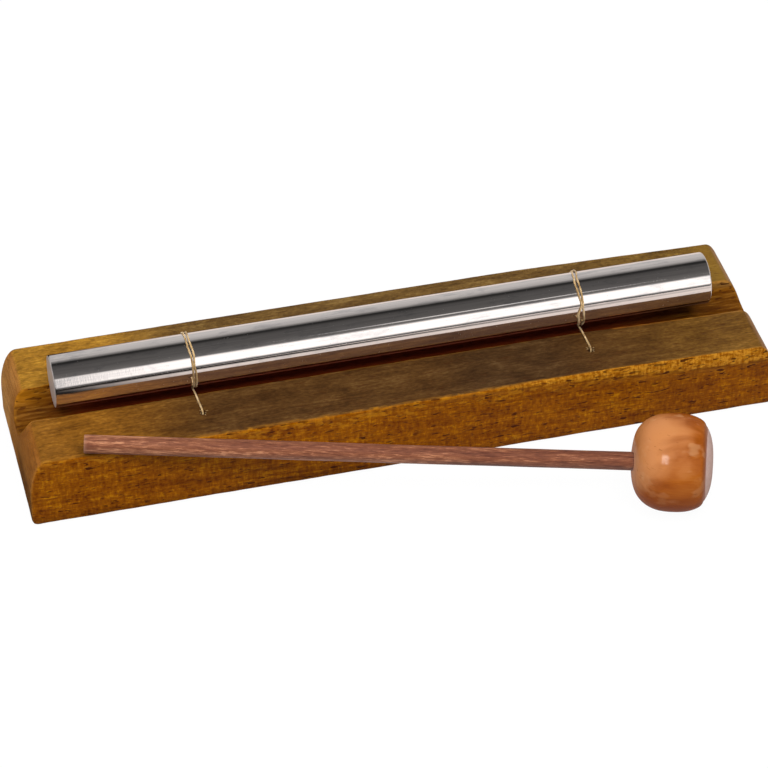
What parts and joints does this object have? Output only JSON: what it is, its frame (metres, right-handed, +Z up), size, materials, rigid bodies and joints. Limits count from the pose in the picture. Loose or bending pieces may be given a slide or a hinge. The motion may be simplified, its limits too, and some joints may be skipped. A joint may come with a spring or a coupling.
{
  "type": "bar chime with mallet",
  "caption": "Meditation bar chime: a round aluminium bar slung on cord loops over a grooved hardwood block, with a loose wooden mallet.",
  "frame": {"origin": "middle of the block's underside, on the table", "axes": "+X along the bar (to the player's right), +Y away from the player, +Z up"},
  "size_m": [0.2326, 0.1048, 0.0404],
  "materials": {
    "block_wood": "oiled, satin",
    "polished_aluminium": "polished, lightly scratched",
    "twine": "waxed twine",
    "stick_wood": "raw, fine-grained",
    "head_wood": "lacquered, glossy"
  },
  "bodies": {
    "base": {"base_block": "block_wood", "left_cord_front_span": "twine", "left_cord_rear_span": "twine", "left_front_knot": "twine", "left_rear_knot": "twine", "right_cord_front_span": "twine", "right_cord_rear_span": "twine", "right_front_knot": "twine", "right_rear_knot": "twine"},
    "cord_loops": {"left_cord_wrap": "twine", "right_cord_wrap": "twine"},
    "bar": {"chime_bar": "polished_aluminium"},
    "mallet": {"mallet_handle": "stick_wood", "mallet_head": "head_wood"}
  },
  "joints": [
    {"name": "bar_bounce", "type": "slide", "parent": "base", "child": "cord_loops", "axis": [0, 0, 1], "range_m": [-0.0015, 0.002], "stiffness_N_per_m": 1500, "deforming": ["left_cord_front_span", "left_cord_rear_span", "right_cord_front_span", "right_cord_rear_span"]},
    {"name": "bar_roll", "type": "hinge", "parent": "cord_loops", "child": "bar", "pos_m": [-0.0015, 0, 0.0315], "axis": [1, 0, 0], "continuous": true},
    {"name": "mallet_lift", "type": "slide", "parent": "base", "child": "mallet", "axis": [0, 0, 1], "range_m": [0, 0.1]}
  ]
}
